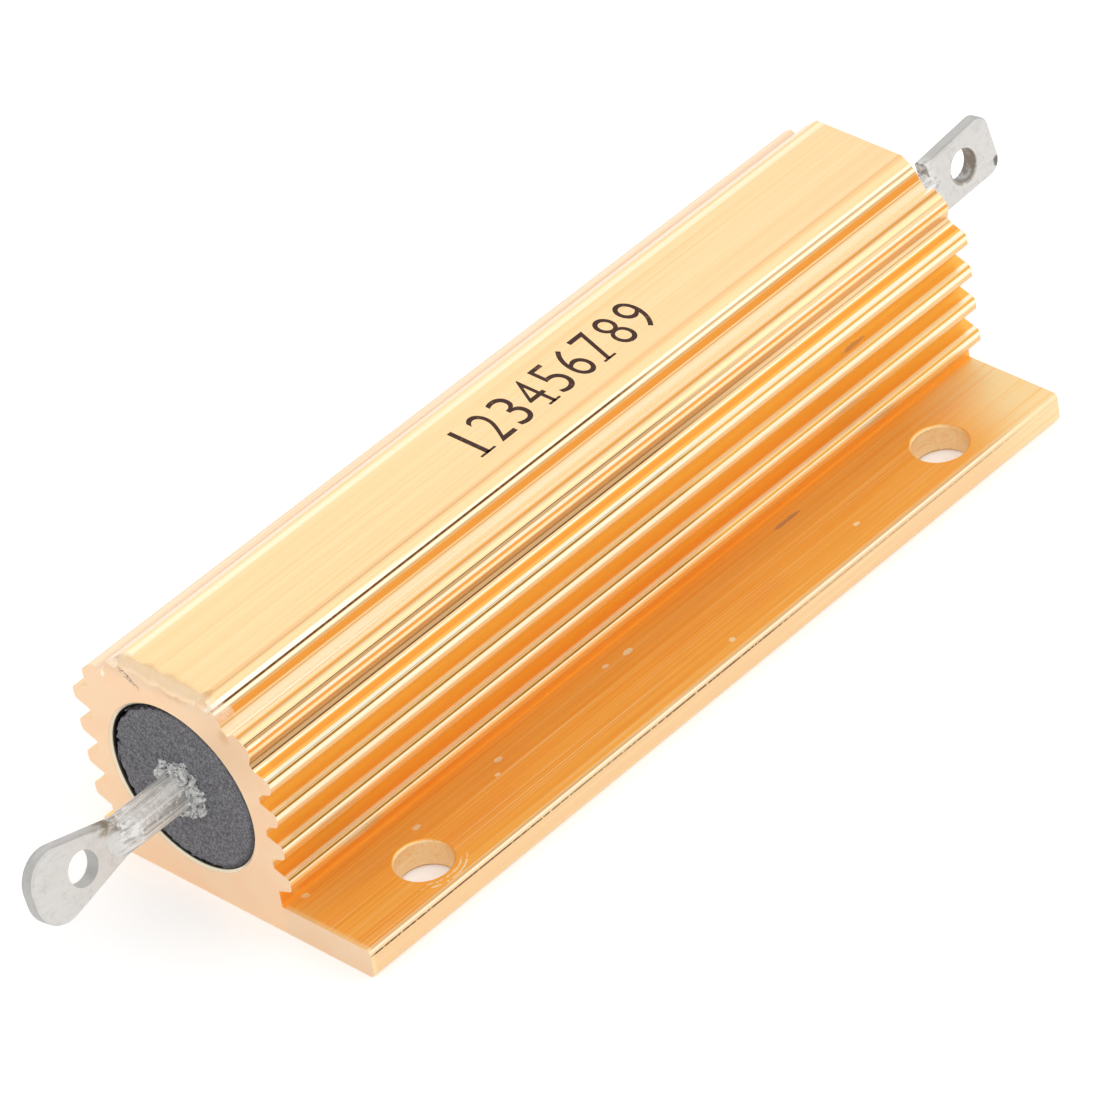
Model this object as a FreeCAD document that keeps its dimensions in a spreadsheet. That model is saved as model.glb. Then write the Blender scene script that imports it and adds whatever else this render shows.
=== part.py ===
import FreeCAD, Part
import math
import os
import re

import Sketcher
from FreeCAD import Placement, Rotation, Vector

# Aluminium housed resistor, millimetres, +Z up, +Y along the housing.
# The origin lies on the base, under the axis of the bore, at mid length.

# Heights of the housing's outline are measured from the base, drops from the top flat,
# and reaches sideways from the plane through the axis of the bore.
SIZES = {
    "housing_length": 90.0,
    "top_height": 23.5,
    "top_half_width": 5.1,
    "flange_reach": 20.45,
    "flange_thickness": 2.95,
    "flange_round": 0.5,
    "stub_reach": 11.6,
    "base_round": 0.3,
    # fins: the lowest of three equal valleys repeats upwards by the pitch
    "fin_reach": 11.85,
    "fin_pitch": 3.57,
    "fin_count": 4,
    "low_fin_height": 6.05,
    "fin_root_half": 1.27,
    "fin_tip_half": 0.64,
    "fin_tip_round": 0.5,
    "valley_reach": 10.15,
    # shoulder between the top flat and the highest valley, point by point downwards
    "lip_reach": 5.8,
    "lip_drop": 0.5,
    "shelf_reach": 6.55,
    "shelf_drop": 1.1,
    "wall_reach": 6.95,
    "wall_drop": 2.0,
    "trough_reach": 7.6,
    "trough_drop": 2.9,
    "ridge_reach": 8.5,
    "ridge_drop": 2.3,
    "brow_reach": 9.4,
    "brow_drop": 2.85,
    "crown_reach": 9.95,
    "crown_drop": 3.4,
    "chin_reach": 10.05,
    "chin_drop": 4.1,
    "nape_reach": 9.75,
    "nape_rise": 0.4,
    # bore and mounting holes
    "bore_height": 11.4,
    "bore_radius": 8.28,
    "bore_chamfer": 0.35,
    "hole_end_distance": 11.2,
    "hole_radius": 2.6,
    "hole_chamfer": 0.2,
    # compound, core, flat resistance wire and end caps
    "filling_recess": 0.35,
    "cap_radius": 6.0,
    "cap_wall": 0.6,
    "cap_face": 1.2,
    "cap_depth": 5.5,
    "cap_cover": 6.35,
    "socket_radius": 1.1,
    "spigot_bite": 0.8,
    "core_chamfer": 0.3,
    "wire_thickness": 0.4,
    "wire_width": 1.5,
    "wire_turns": 7,
    # leads: each bends once inside the compound, lengths run outwards from its face
    "lead_radius": 1.78,
    "knee_depth": 4.45,
    "neck_start": 6.4,
    "neck_end": 9.8,
    "neck_half_width": 2.15,
    "eye_thickness": 1.5,
    "eye_start": 8.2,
    "eye_edge": 0.25,
    "eye_hole_radius": 1.65,
    "front_turn": 12.0,
    "front_lift": 0.8,
    "front_offset": 0.0,
    "front_start_half": 1.85,
    "front_half_width": 3.55,
    "front_corner": 3.0,
    "front_tip_place": 18.4,
    "front_hole_place": 12.75,
    "rear_turn": 9.0,
    "rear_lift": 4.1,
    "rear_offset": 0.55,
    "rear_start_half": 2.9,
    "rear_half_width": 3.1,
    "rear_corner": 1.5,
    "rear_tip_place": 16.7,
    "rear_hole_place": 12.3,
    # rough bead round the root of each lead
    "bead_radius": 2.75,
    "bead_edge": 0.45,
    "bead_height": 1.25,
    "bead_crown": 0.35,
}

WORKED_OUT = {
    "half_length": "housing_length / 2",
    "hole_offset": "(fin_reach + flange_reach) / 2",
    "hole_spacing": "housing_length - 2 * hole_end_distance",
    "filling_end": "half_length - filling_recess",
    "core_radius": "cap_radius - cap_wall",
    "cap_outer_place": "filling_end - cap_cover",
    "core_end": "cap_outer_place - cap_face",
    "cap_rim": "core_end - cap_depth",
    "winding_radius": "core_radius + wire_thickness",
    "wire_span": "2 * cap_rim - wire_width",
    "wire_pitch": "wire_span / wire_turns",
    "valley_height": "low_fin_height + fin_pitch / 2",
    "valley_count": "fin_count - 1",
    "valley_span": "fin_pitch * (valley_count - 1)",
    "valley_root_half": "fin_pitch / 2 - fin_root_half",
    "valley_mouth_half": "fin_pitch / 2 - fin_tip_half",
    "low_root_height": "low_fin_height - fin_root_half",
    "low_mouth_height": "low_fin_height - fin_tip_half",
    "high_fin_height": "low_fin_height + fin_pitch * valley_count",
    "high_root_height": "high_fin_height + fin_root_half",
    "high_mouth_height": "high_fin_height + fin_tip_half",
    "knee_place": "filling_end - knee_depth",
    "front_rise": "front_offset + knee_depth * tan(front_lift * 1 deg)",
    "front_corner_round": "min(front_corner; 0.95 * front_half_width)",
    "rear_corner_round": "min(rear_corner; 0.95 * rear_half_width)",
    "rear_rise": "rear_offset + knee_depth * tan(rear_lift * 1 deg)",
}

NEAR = 0.02
BEYOND = "5"

doc = FreeCAD.newDocument("housed_resistor")
dims = doc.addObject("Spreadsheet::Sheet", "dims")


def fill_sheet():
    rows = dict(SIZES)
    rows.update({alias: "=" + formula for alias, formula in WORKED_OUT.items()})
    for row, (alias, content) in enumerate(rows.items(), start=1):
        dims.set("A%d" % row, alias)
        dims.set("B%d" % row, str(content))
        dims.setAlias("B%d" % row, alias)
    doc.recompute()


def bound(formula):
    # names in a formula are aliases of the sheet
    return re.sub(r"[a-z][a-z_]*", lambda word: "dims." + word.group(), formula)


def new_body(label):
    body = doc.addObject("PartDesign::Body", label)
    body.Label = label
    return body


def origin_plane(body, role):
    for feature in body.Origin.OriginFeatures:
        if feature.Role == role:
            return feature
    raise ValueError("no origin plane " + role)


def new_sketch(body, name, role):
    sketch = body.newObject("Sketcher::SketchObject", name)
    sketch.AttachmentSupport = [(origin_plane(body, role), "")]
    sketch.MapMode = "FlatFace"
    return sketch


def new_section(body, name, distance):
    # a cross-section of a lead, turned so that its own X runs up
    sketch = new_sketch(body, name, "YZ_Plane")
    sketch.AttachmentOffset = Placement(Vector(), Rotation(Vector(0, 0, 1), 90))
    sketch.setExpression(".AttachmentOffset.Base.z", bound(distance))
    return sketch


def drive(sketch, kind, places, formula):
    index = sketch.addConstraint(Sketcher.Constraint(kind, *places, 1.0))
    name = "drive_%d" % index
    sketch.renameConstraint(index, name)
    sketch.setExpression("Constraints." + name, bound(formula))


def place(sketch, geometry, point, across, up):
    # ties a point to its two formulas, or to the axis where a formula is zero
    for kind, formula, axis in (("DistanceX", across, -2), ("DistanceY", up, -1)):
        if formula == "0":
            sketch.addConstraint(Sketcher.Constraint("PointOnObject", geometry, point, axis))
        else:
            drive(sketch, kind, (-1, 1, geometry, point), formula)


def polygon(sketch, corners):
    first = sketch.GeometryCount
    count = len(corners)
    step = 2 * math.pi / count
    ring = [Vector(math.cos(step * n), math.sin(step * n), 0) for n in range(count)]
    for n in range(count):
        sketch.addGeometry(Part.LineSegment(ring[n], ring[(n + 1) % count]), False)
    for n in range(count):
        following = first + (n + 1) % count
        sketch.addConstraint(Sketcher.Constraint("Coincident", first + n, 2, following, 1))
    for n, (across, up) in enumerate(corners):
        place(sketch, first + n, 1, across, up)


def circle(sketch, across, up, radius):
    geometry = sketch.addGeometry(Part.Circle(Vector(0, 0, 0), Vector(0, 0, 1), 1), False)
    place(sketch, geometry, 3, across, up)
    drive(sketch, "Radius", (geometry,), radius)


def ellipse(sketch, half_across, half_up):
    # centred on the sketch's origin, longer across than up
    geometry = sketch.addGeometry(Part.Ellipse(Vector(2, 0, 0), Vector(0, 1, 0), Vector()), False)
    sketch.exposeInternalGeometry(geometry)
    place(sketch, geometry, 3, "0", "0")
    major, minor = geometry + 1, geometry + 2
    sketch.addConstraint(Sketcher.Constraint("Horizontal", major))
    drive(sketch, "Distance", (major,), "2 * " + half_across)
    drive(sketch, "Distance", (minor,), "2 * " + half_up)


def tongue(sketch, start, start_half, tip, half_width, corner):
    # straight sides from a narrow start to a blunt end, with round corners they meet smoothly
    start_line = Part.LineSegment(Vector(0, -1, 0), Vector(0, 1, 0))
    upper_side = Part.LineSegment(Vector(0, 1, 0), Vector(5, 2, 0))
    upper_round = Part.Circle(Vector(5, 1, 0), Vector(0, 0, 1), 1)
    end_line = Part.LineSegment(Vector(6, 1, 0), Vector(6, -1, 0))
    lower_round = Part.Circle(Vector(5, -1, 0), Vector(0, 0, 1), 1)
    lower_side = Part.LineSegment(Vector(5, -2, 0), Vector(0, -1, 0))
    outline = [
        start_line,
        upper_side,
        Part.ArcOfCircle(upper_round, 0, math.pi / 2),
        end_line,
        Part.ArcOfCircle(lower_round, -math.pi / 2, 0),
        lower_side,
    ]
    first, upper, upper_arc, blunt, lower_arc, lower = [
        sketch.addGeometry(piece, False) for piece in outline
    ]
    sketch.addConstraint(Sketcher.Constraint("Coincident", first, 2, upper, 1))
    sketch.addConstraint(Sketcher.Constraint("Coincident", lower, 2, first, 1))
    sketch.addConstraint(Sketcher.Constraint("Tangent", upper, 2, upper_arc, 2))
    sketch.addConstraint(Sketcher.Constraint("Tangent", upper_arc, 1, blunt, 1))
    sketch.addConstraint(Sketcher.Constraint("Tangent", blunt, 2, lower_arc, 2))
    sketch.addConstraint(Sketcher.Constraint("Tangent", lower_arc, 1, lower, 1))
    place(sketch, first, 1, start, "-" + start_half)
    place(sketch, first, 2, start, start_half)
    for arc, side in ((upper_arc, ""), (lower_arc, "-")):
        place(sketch, arc, 3, "%s - %s" % (tip, corner), side + "(%s - %s)" % (half_width, corner))
        drive(sketch, "Radius", (arc,), corner)


def pad(body, name, sketch, length, midplane=False):
    feature = body.newObject("PartDesign::Pad", name)
    feature.Profile = sketch
    feature.Midplane = midplane
    feature.setExpression("Length", bound(length))
    return feature


def through_pocket(body, name, sketch):
    feature = body.newObject("PartDesign::Pocket", name)
    feature.Profile = sketch
    feature.Type = "ThroughAll"
    feature.Midplane = True
    return feature


def turned(kind, body, name, sketch):
    feature = body.newObject("PartDesign::" + kind, name)
    feature.Profile = sketch
    feature.ReferenceAxis = (sketch, ["H_Axis"])
    feature.Angle = 360
    return feature


def revolution(body, name, sketch):
    return turned("Revolution", body, name, sketch)


def groove(body, name, sketch):
    return turned("Groove", body, name, sketch)


def dress(body, kind, name, base, edges, size_name, formula):
    # a fillet or a chamfer on the named edges of the base feature
    feature = body.newObject("PartDesign::" + kind, name)
    feature.Base = (base, edges)
    feature.setExpression(size_name, bound(formula))
    body.Tip = feature
    doc.recompute()
    return feature


def edges_of(feature, test):
    doc.recompute()
    numbered = enumerate(feature.Shape.Edges, start=1)
    names = ["Edge%d" % number for number, edge in numbered if test(edge)]
    if not names:
        raise ValueError("no edge found on " + feature.Name)
    return names


def value(alias):
    return float(dims.get(alias))


def same(number, target):
    return abs(number - target) < NEAR


def along_housing(edge):
    first, last = edge.Vertexes[0].Point, edge.Vertexes[-1].Point
    return same(first.x, last.x) and same(first.z, last.z) and not same(first.y, last.y)


def round_edge(edge, radius):
    return edge.Curve.TypeId == "Part::GeomCircle" and same(edge.Curve.Radius, radius)


# Housing: one extrusion, sawn to length, bored and drilled.
def make_housing():
    body = new_body("housing")
    block = new_sketch(body, "block_outline", "XZ_Plane")
    polygon(block, [
        ("fin_reach", "flange_thickness"),
        ("flange_reach", "flange_thickness"),
        ("flange_reach", "0"),
        ("-stub_reach", "0"),
        ("-stub_reach", "flange_thickness"),
        ("-fin_reach", "flange_thickness"),
        ("-fin_reach", "top_height"),
        ("fin_reach", "top_height"),
    ])
    extrusion = pad(body, "extrusion", block, "housing_length", midplane=True)

    shoulders = new_sketch(body, "shoulder_outline", "XZ_Plane")
    for side in ("", "-"):
        polygon(shoulders, [
            (side + "top_half_width", "top_height"),
            (side + "lip_reach", "top_height - lip_drop"),
            (side + "shelf_reach", "top_height - shelf_drop"),
            (side + "wall_reach", "top_height - wall_drop"),
            (side + "trough_reach", "top_height - trough_drop"),
            (side + "ridge_reach", "top_height - ridge_drop"),
            (side + "brow_reach", "top_height - brow_drop"),
            (side + "crown_reach", "top_height - crown_drop"),
            (side + "chin_reach", "top_height - chin_drop"),
            (side + "nape_reach", "high_root_height + nape_rise"),
            (side + "valley_reach", "high_root_height"),
            (side + "fin_reach", "high_mouth_height"),
            (side + "(fin_reach + %s)" % BEYOND, "high_mouth_height"),
            (side + "(fin_reach + %s)" % BEYOND, "top_height + " + BEYOND),
            (side + "top_half_width", "top_height + " + BEYOND),
        ])
    through_pocket(body, "shoulders", shoulders)

    valleys = new_sketch(body, "valley_outline", "XZ_Plane")
    for side in ("", "-"):
        polygon(valleys, [
            (side + "valley_reach", "valley_height - valley_root_half"),
            (side + "fin_reach", "valley_height - valley_mouth_half"),
            (side + "(fin_reach + %s)" % BEYOND, "valley_height - valley_mouth_half"),
            (side + "(fin_reach + %s)" % BEYOND, "valley_height + valley_mouth_half"),
            (side + "fin_reach", "valley_height + valley_mouth_half"),
            (side + "valley_reach", "valley_height + valley_root_half"),
        ])
    valley = through_pocket(body, "lowest_valley", valleys)
    doc.recompute()
    pattern = body.newObject("PartDesign::LinearPattern", "valley_pattern")
    pattern.Originals = [valley]
    pattern.Direction = (valleys, ["V_Axis"])
    pattern.setExpression("Length", bound("valley_span"))
    pattern.setExpression("Occurrences", bound("valley_count"))
    body.Tip = pattern

    seats = new_sketch(body, "seat_outline", "XZ_Plane")
    for side in ("", "-"):
        polygon(seats, [
            (side + "valley_reach", "flange_thickness"),
            (side + "(fin_reach + %s)" % BEYOND, "flange_thickness"),
            (side + "(fin_reach + %s)" % BEYOND, "low_mouth_height"),
            (side + "fin_reach", "low_mouth_height"),
            (side + "valley_reach", "low_root_height"),
        ])
    seat = through_pocket(body, "flange_valley", seats)

    bore = new_sketch(body, "bore_outline", "XZ_Plane")
    circle(bore, "0", "bore_height", "bore_radius")
    through_pocket(body, "bore", bore)

    holes = new_sketch(body, "hole_outline", "XY_Plane")
    for side in ("", "-"):
        circle(holes, "hole_offset", side + "hole_spacing / 2", "hole_radius")
    drilled = through_pocket(body, "mounting_holes", holes)

    tip_heights = []
    for number in range(int(value("fin_count"))):
        centre = value("low_fin_height") + number * value("fin_pitch")
        tip_heights += [centre - value("fin_tip_half"), centre + value("fin_tip_half")]

    def fin_tip(edge):
        point = edge.Vertexes[0].Point
        on_tip = any(same(point.z, height) for height in tip_heights)
        return along_housing(edge) and on_tip and same(abs(point.x), value("fin_reach"))

    tips = edges_of(drilled, fin_tip)
    rounded = dress(body, "Fillet", "fin_tips", drilled, tips, "Radius", "fin_tip_round")

    def flange_edge(edge):
        return along_housing(edge) and same(edge.Vertexes[0].Point.x, value("flange_reach"))

    outer = edges_of(rounded, flange_edge)
    rounded = dress(body, "Fillet", "flange_edges", rounded, outer, "Radius", "flange_round")

    def stub_edge(edge):
        return along_housing(edge) and same(edge.Vertexes[0].Point.x, -value("stub_reach"))

    stub = edges_of(rounded, stub_edge)
    rounded = dress(body, "Fillet", "stub_edges", rounded, stub, "Radius", "base_round")

    mouths = edges_of(rounded, lambda edge: round_edge(edge, value("bore_radius")))
    mouthed = dress(body, "Chamfer", "bore_mouths", rounded, mouths, "Size", "bore_chamfer")
    rims = edges_of(mouthed, lambda edge: round_edge(edge, value("hole_radius")))
    dress(body, "Chamfer", "hole_rims", mouthed, rims, "Size", "hole_chamfer")
    return body


# Pieces in the bore are drawn about their own axis, which runs along Y.
def seat_in_bore(piece):
    piece.setExpression(".Placement.Base.z", bound("bore_height"))
    return piece


def cut_by(label, poured, terminals):
    # what is poured or packed round a lead takes the lead's own shape
    left = poured
    for number, terminal in enumerate(terminals, start=1):
        cut = doc.addObject("Part::Cut", "%s_%d" % (label, number))
        cut.Base = left
        cut.Tool = terminal
        left = cut
    left.Label = label
    return left


def make_filling(terminals):
    body = new_body("poured_compound")
    half = new_sketch(body, "filling_half", "YZ_Plane")
    polygon(half, [
        ("filling_end", "0"),
        ("filling_end", "bore_radius"),
        ("-filling_end", "bore_radius"),
        ("-filling_end", "0"),
    ])
    revolution(body, "filling", half)
    winding_room = new_sketch(body, "winding_room_half", "YZ_Plane")
    polygon(winding_room, [
        ("cap_outer_place", "0"),
        ("cap_outer_place", "winding_radius"),
        ("-cap_outer_place", "winding_radius"),
        ("-cap_outer_place", "0"),
    ])
    groove(body, "winding_room", winding_room)
    cap_rooms = new_sketch(body, "cap_room_halves", "YZ_Plane")
    for side in ("", "-"):
        polygon(cap_rooms, [
            (side + "cap_outer_place", "core_radius"),
            (side + "cap_outer_place", "cap_radius"),
            (side + "cap_rim", "cap_radius"),
            (side + "cap_rim", "core_radius"),
        ])
    groove(body, "cap_rooms", cap_rooms)
    return cut_by("cement_filling", seat_in_bore(body), terminals)


def make_core():
    body = new_body("ceramic_core")
    half = new_sketch(body, "core_half", "YZ_Plane")
    polygon(half, [
        ("core_end", "0"),
        ("core_end", "core_radius - core_chamfer"),
        ("core_end - core_chamfer", "core_radius"),
        ("-core_end + core_chamfer", "core_radius"),
        ("-core_end", "core_radius - core_chamfer"),
        ("-core_end", "0"),
    ])
    revolution(body, "rod", half)
    return seat_in_bore(body)


def make_wire():
    body = new_body("resistance_wire")
    section = new_sketch(body, "wire_section", "YZ_Plane")
    polygon(section, [
        ("-wire_span / 2 - wire_width / 2", "core_radius"),
        ("-wire_span / 2 + wire_width / 2", "core_radius"),
        ("-wire_span / 2 + wire_width / 2", "winding_radius"),
        ("-wire_span / 2 - wire_width / 2", "winding_radius"),
    ])
    coil = body.newObject("PartDesign::AdditiveHelix", "coil")
    coil.Profile = section
    coil.ReferenceAxis = (section, ["H_Axis"])
    coil.Mode = "pitch-height-angle"
    coil.setExpression("Pitch", bound("wire_pitch"))
    coil.setExpression("Height", bound("wire_span"))
    return seat_in_bore(body)


def make_cap(label, side):
    body = new_body(label)
    half = new_sketch(body, label + "_half", "YZ_Plane")
    polygon(half, [
        (side + "cap_outer_place", "socket_radius"),
        (side + "cap_outer_place", "cap_radius"),
        (side + "cap_rim", "cap_radius"),
        (side + "cap_rim", "core_radius"),
        (side + "core_end", "core_radius"),
        (side + "core_end", "socket_radius"),
    ])
    revolution(body, label + "_cup", half)
    return seat_in_bore(body)


# A lead is drawn along +X from its knee, with its flat eye upright, then lifted and
# turned about the knee. Lengths from the face of the compound are moved to the knee.
def make_outer_lead(end):
    body = new_body(end + "_outer")
    outline = new_sketch(body, end + "_eye_outline", "XZ_Plane")
    tip = "knee_depth + %s_tip_place" % end
    start_half, half_width = end + "_start_half", end + "_half_width"
    tongue(outline, "knee_depth + eye_start", start_half, tip, half_width, end + "_corner_round")
    eye = pad(body, end + "_eye", outline, "eye_thickness", midplane=True)

    def outline_edge(edge):
        middle = edge.valueAt(sum(edge.ParameterRange) / 2)
        on_face = same(abs(middle.y), value("eye_thickness") / 2)
        return on_face and not same(middle.x, value("knee_depth") + value("eye_start"))

    rims = edges_of(eye, outline_edge)
    dress(body, "Chamfer", end + "_eye_edges", eye, rims, "Size", "eye_edge")

    neck_start = new_section(body, end + "_neck_start", "knee_depth + neck_start")
    circle(neck_start, "0", "0", "lead_radius")
    neck_end = new_section(body, end + "_neck_end", "knee_depth + neck_end")
    ellipse(neck_end, "neck_half_width", "eye_thickness / 2")
    neck = body.newObject("PartDesign::AdditiveLoft", end + "_neck")
    neck.Profile = neck_start
    neck.Sections = [neck_end]

    shank_section = new_sketch(body, end + "_shank_section", "YZ_Plane")
    circle(shank_section, "0", "0", "lead_radius")
    pad(body, end + "_shank", shank_section, "knee_depth + neck_start")

    hole = new_sketch(body, end + "_hole_outline", "XZ_Plane")
    circle(hole, "knee_depth + %s_hole_place" % end, "0", "eye_hole_radius")
    through_pocket(body, end + "_hole", hole)
    return body


def make_terminal(end, yaw, lean):
    outer = make_outer_lead(end)
    aimed = "rotation(0; -dims.%s_lift; %s * dims.%s_turn)" % (end, lean, end)
    knee = "vector(dims.knee_place; 0; dims.%s_offset)" % end
    outer.setExpression("Placement", "placement(%s; %s)" % (knee, aimed))
    spigot = doc.addObject("Part::Cylinder", end + "_spigot")
    spigot.setExpression("Radius", bound("socket_radius"))
    spigot.setExpression("Height", bound("knee_place - core_end + spigot_bite"))
    spigot.Placement = Placement(Vector(), Rotation(Vector(0, 1, 0), 90))
    spigot.setExpression(".Placement.Base.x", bound("core_end"))
    terminal = doc.addObject("Part::MultiFuse", end + "_terminal")
    terminal.Label = end + "_terminal"
    terminal.Shapes = [spigot, outer]
    terminal.Refine = True
    terminal.Placement = Placement(Vector(), Rotation(yaw, 0, 0))
    return seat_in_bore(terminal)


def make_bead(end, side, terminal):
    body = new_body(end + "_bead_lump")
    half = new_sketch(body, end + "_bead_half", "YZ_Plane")
    polygon(half, [
        (side + "filling_end", "0"),
        (side + "filling_end", "bead_radius"),
        (side + "(filling_end + bead_edge)", "bead_radius"),
        (side + "(filling_end + bead_height)", "lead_radius + bead_crown"),
        (side + "(filling_end + bead_height)", "0"),
    ])
    revolution(body, end + "_ring", half)
    body.setExpression(".Placement.Base.z", bound("bore_height + %s_rise" % end))
    return cut_by(end + "_root_bead", body, [terminal])


def check(pieces):
    for item in doc.Objects:
        if "Invalid" in item.State or "Error" in item.State:
            raise ValueError("failed: " + item.Name)
    for piece in pieces:
        if piece.Shape.isNull() or not piece.Shape.isValid():
            raise ValueError("bad shape: " + piece.Label)
        if len(piece.Shape.Solids) != 1:
            raise ValueError("not one solid: " + piece.Label)


def main():
    fill_sheet()
    front = make_terminal("front", -90, "1")
    rear = make_terminal("rear", 90, "-1")
    pieces = [
        make_housing(),
        make_filling([front, rear]),
        make_core(),
        make_wire(),
        make_cap("front_end_cap", "-"),
        make_cap("rear_end_cap", ""),
        front,
        rear,
        make_bead("front", "-", front),
        make_bead("rear", "", rear),
    ]
    doc.recompute()
    check(pieces)
    os.makedirs("parts", exist_ok=True)
    for piece in pieces:
        piece.Shape.exportStep("parts/%s.step" % piece.Label)
        box = piece.Shape.BoundBox
        print("%s %.1f mm3, z %.2f to %.2f" % (piece.Label, piece.Shape.Volume, box.ZMin, box.ZMax))


main()
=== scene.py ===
import math

import bmesh
import bpy
from bpy.props import FloatProperty, FloatVectorProperty, IntProperty, PointerProperty, StringProperty
from bpy.types import Operator, Panel, PropertyGroup
from mathutils import Matrix, Vector, noise


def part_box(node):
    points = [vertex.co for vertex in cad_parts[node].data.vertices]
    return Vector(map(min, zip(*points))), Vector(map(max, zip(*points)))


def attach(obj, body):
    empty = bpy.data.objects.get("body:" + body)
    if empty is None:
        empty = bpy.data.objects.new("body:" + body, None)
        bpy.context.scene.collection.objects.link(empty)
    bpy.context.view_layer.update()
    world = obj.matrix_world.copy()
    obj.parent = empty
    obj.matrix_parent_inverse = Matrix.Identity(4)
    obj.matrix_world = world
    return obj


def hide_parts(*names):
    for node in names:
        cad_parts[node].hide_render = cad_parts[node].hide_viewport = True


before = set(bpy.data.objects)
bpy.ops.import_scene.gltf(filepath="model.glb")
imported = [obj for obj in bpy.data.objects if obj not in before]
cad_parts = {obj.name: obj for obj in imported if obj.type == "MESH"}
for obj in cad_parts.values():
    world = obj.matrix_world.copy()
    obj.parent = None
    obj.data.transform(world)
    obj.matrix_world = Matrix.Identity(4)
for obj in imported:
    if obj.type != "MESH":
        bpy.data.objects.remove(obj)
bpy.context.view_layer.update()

bl_info = {
    "name": "Housed resistor finish",
    "version": (1, 0, 0),
    "blender": (4, 5, 0),
    "location": "3D View > Sidebar > Resistor",
    "description": "Anodised housing, granular compound, tinned leads and a studio for a housed resistor",
    "category": "Object",
}

MM = 0.001
FRONT_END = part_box("housing")[0][1] / MM
REAR_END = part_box("housing")[1][1] / MM
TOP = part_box("housing")[1][2] / MM
FILLING_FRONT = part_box("cement_filling")[0][1] / MM
BORE_RADIUS = (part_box("cement_filling")[1][0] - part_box("cement_filling")[0][0]) / 2 / MM
BORE_HEIGHT = (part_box("cement_filling")[1][2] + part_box("cement_filling")[0][2]) / 2 / MM

# Places on the parts, in millimetres: sideways from the plane through the bore, along it and up from the base.
HOLE_PLACE = 16.15
HOLE_ALONG = -33.8
HOLE_RIM = 2.7
REAR_EYE = (56.91, 13.15)
REAR_NICK = (61.1, 11.4)
FLANK_REACH = 4.75
FLANK_FOOT = 16.8
FIN_ROOT = 9.8
FIN_FOOT = 4.55
FIN_TOP = 17.9
FIN_PITCH = 3.57
FIRST_CREST = 5.05
FLANGE_ROOT = 10.4
FLANGE_TOP = 2.95
FLANGE_FACE = 20.025


def colour(name, description, red, green, blue):
    return FloatVectorProperty(
        name=name, description=description, subtype="COLOR", size=4, min=0, max=1,
        default=(red, green, blue, 1),
    )


def length(name, description, millimetres):
    return FloatProperty(name=name, description=description, unit="LENGTH", default=millimetres * MM, min=0)


def share(name, description, default):
    return FloatProperty(name=name, description=description, subtype="FACTOR", default=default, min=0, max=1)


class HousingLook(PropertyGroup):
    anodise: colour("Anodise", "Pale gold of the open faces", 0.95, 0.66, 0.36)
    # Painted shade and bounce light: a deeper gold that stands in for the orange light the fins throw onto the
    # flange and between them.
    shaded_anodise: colour("Deep anodise", "Deeper gold of the flange and between the fins", 1.0, 0.53, 0.105)
    sawn: colour("Sawn end", "Sawn and anodised end faces", 1.0, 0.69, 0.44)
    roughness: share("Roughness", "Roughness of the drawn faces", 0.30)
    streaks: share("Die lines", "Depth of the lengthwise lines of the die", 0.7)
    edge_wear: length("Edge wear", "Widest rounding of the worn front top edge", 1.7)


class CompoundLook(PropertyGroup):
    base: colour("Compound", "Dark grey compound", 0.225, 0.22, 0.238)
    grain: length("Grain", "Height of the grains on its face", 0.10)
    gap: length("Shrink gap", "Widest gap to the wall of the bore", 0.6)


class LeadLook(PropertyGroup):
    tin: colour("Tin", "Dull tinned surface", 0.73, 0.715, 0.69)
    tarnish: colour("Tarnish", "Brown tarnish near the neck and the hole", 0.30, 0.24, 0.17)
    roughness: share("Roughness", "Roughness of the tinned surface", 0.42)
    wall_stain: share("Wall stain", "Brown stain in the hole of the rear lug", 0.6)


class CrustLook(PropertyGroup):
    base: colour("Crust", "Light grey crust round each lead", 0.78, 0.78, 0.77)
    roughness: length("Relief", "Height of the lumps", 0.5)
    crumbs: IntProperty(name="Crumbs", description="Loose crumbs in each crust", default=46, min=0)


class MarkingLook(PropertyGroup):
    figures: StringProperty(name="Figures", description="Plain figures on the top flat", default="123456789")
    ink: colour("Ink", "Dark brown ink", 0.05, 0.018, 0.008)
    start: length("Start", "Distance from mid length to the first figure", 8.3)
    row: length("Row", "Length of the row of figures", 24.1)
    tall: length("Height", "Height of the figures", 4.9)
    foot: length("Foot", "Sideways place of the feet of the figures", 2.9)
    fill: share("Fill", "Width of a figure as a share of its room", 0.72)


class StudioLook(PropertyGroup):
    floor: colour("Floor", "Pale floor", 0.86, 0.86, 0.86)
    azimuth: FloatProperty(name="Azimuth", description="Camera's way round, 0 looks along +Y",
                           subtype="ANGLE", default=math.radians(49.119))
    elevation: FloatProperty(name="Elevation", description="Camera above the horizon",
                             subtype="ANGLE", default=math.radians(37.784))
    roll: FloatProperty(name="Roll", description="Camera turned about its own line of sight",
                        subtype="ANGLE", default=math.radians(-10.276))
    away: length("Distance", "Camera to the plane of the origin", 696.888)
    aside: FloatProperty(name="Aside", description="Camera to the right of the origin",
                         unit="LENGTH", default=-0.697 * MM)
    above: FloatProperty(name="Above", description="Camera above the origin, across the view",
                         unit="LENGTH", default=5.196 * MM)
    lens: FloatProperty(name="Lens", description="Focal length in millimetres on a 36 mm sensor", default=258.028)


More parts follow.
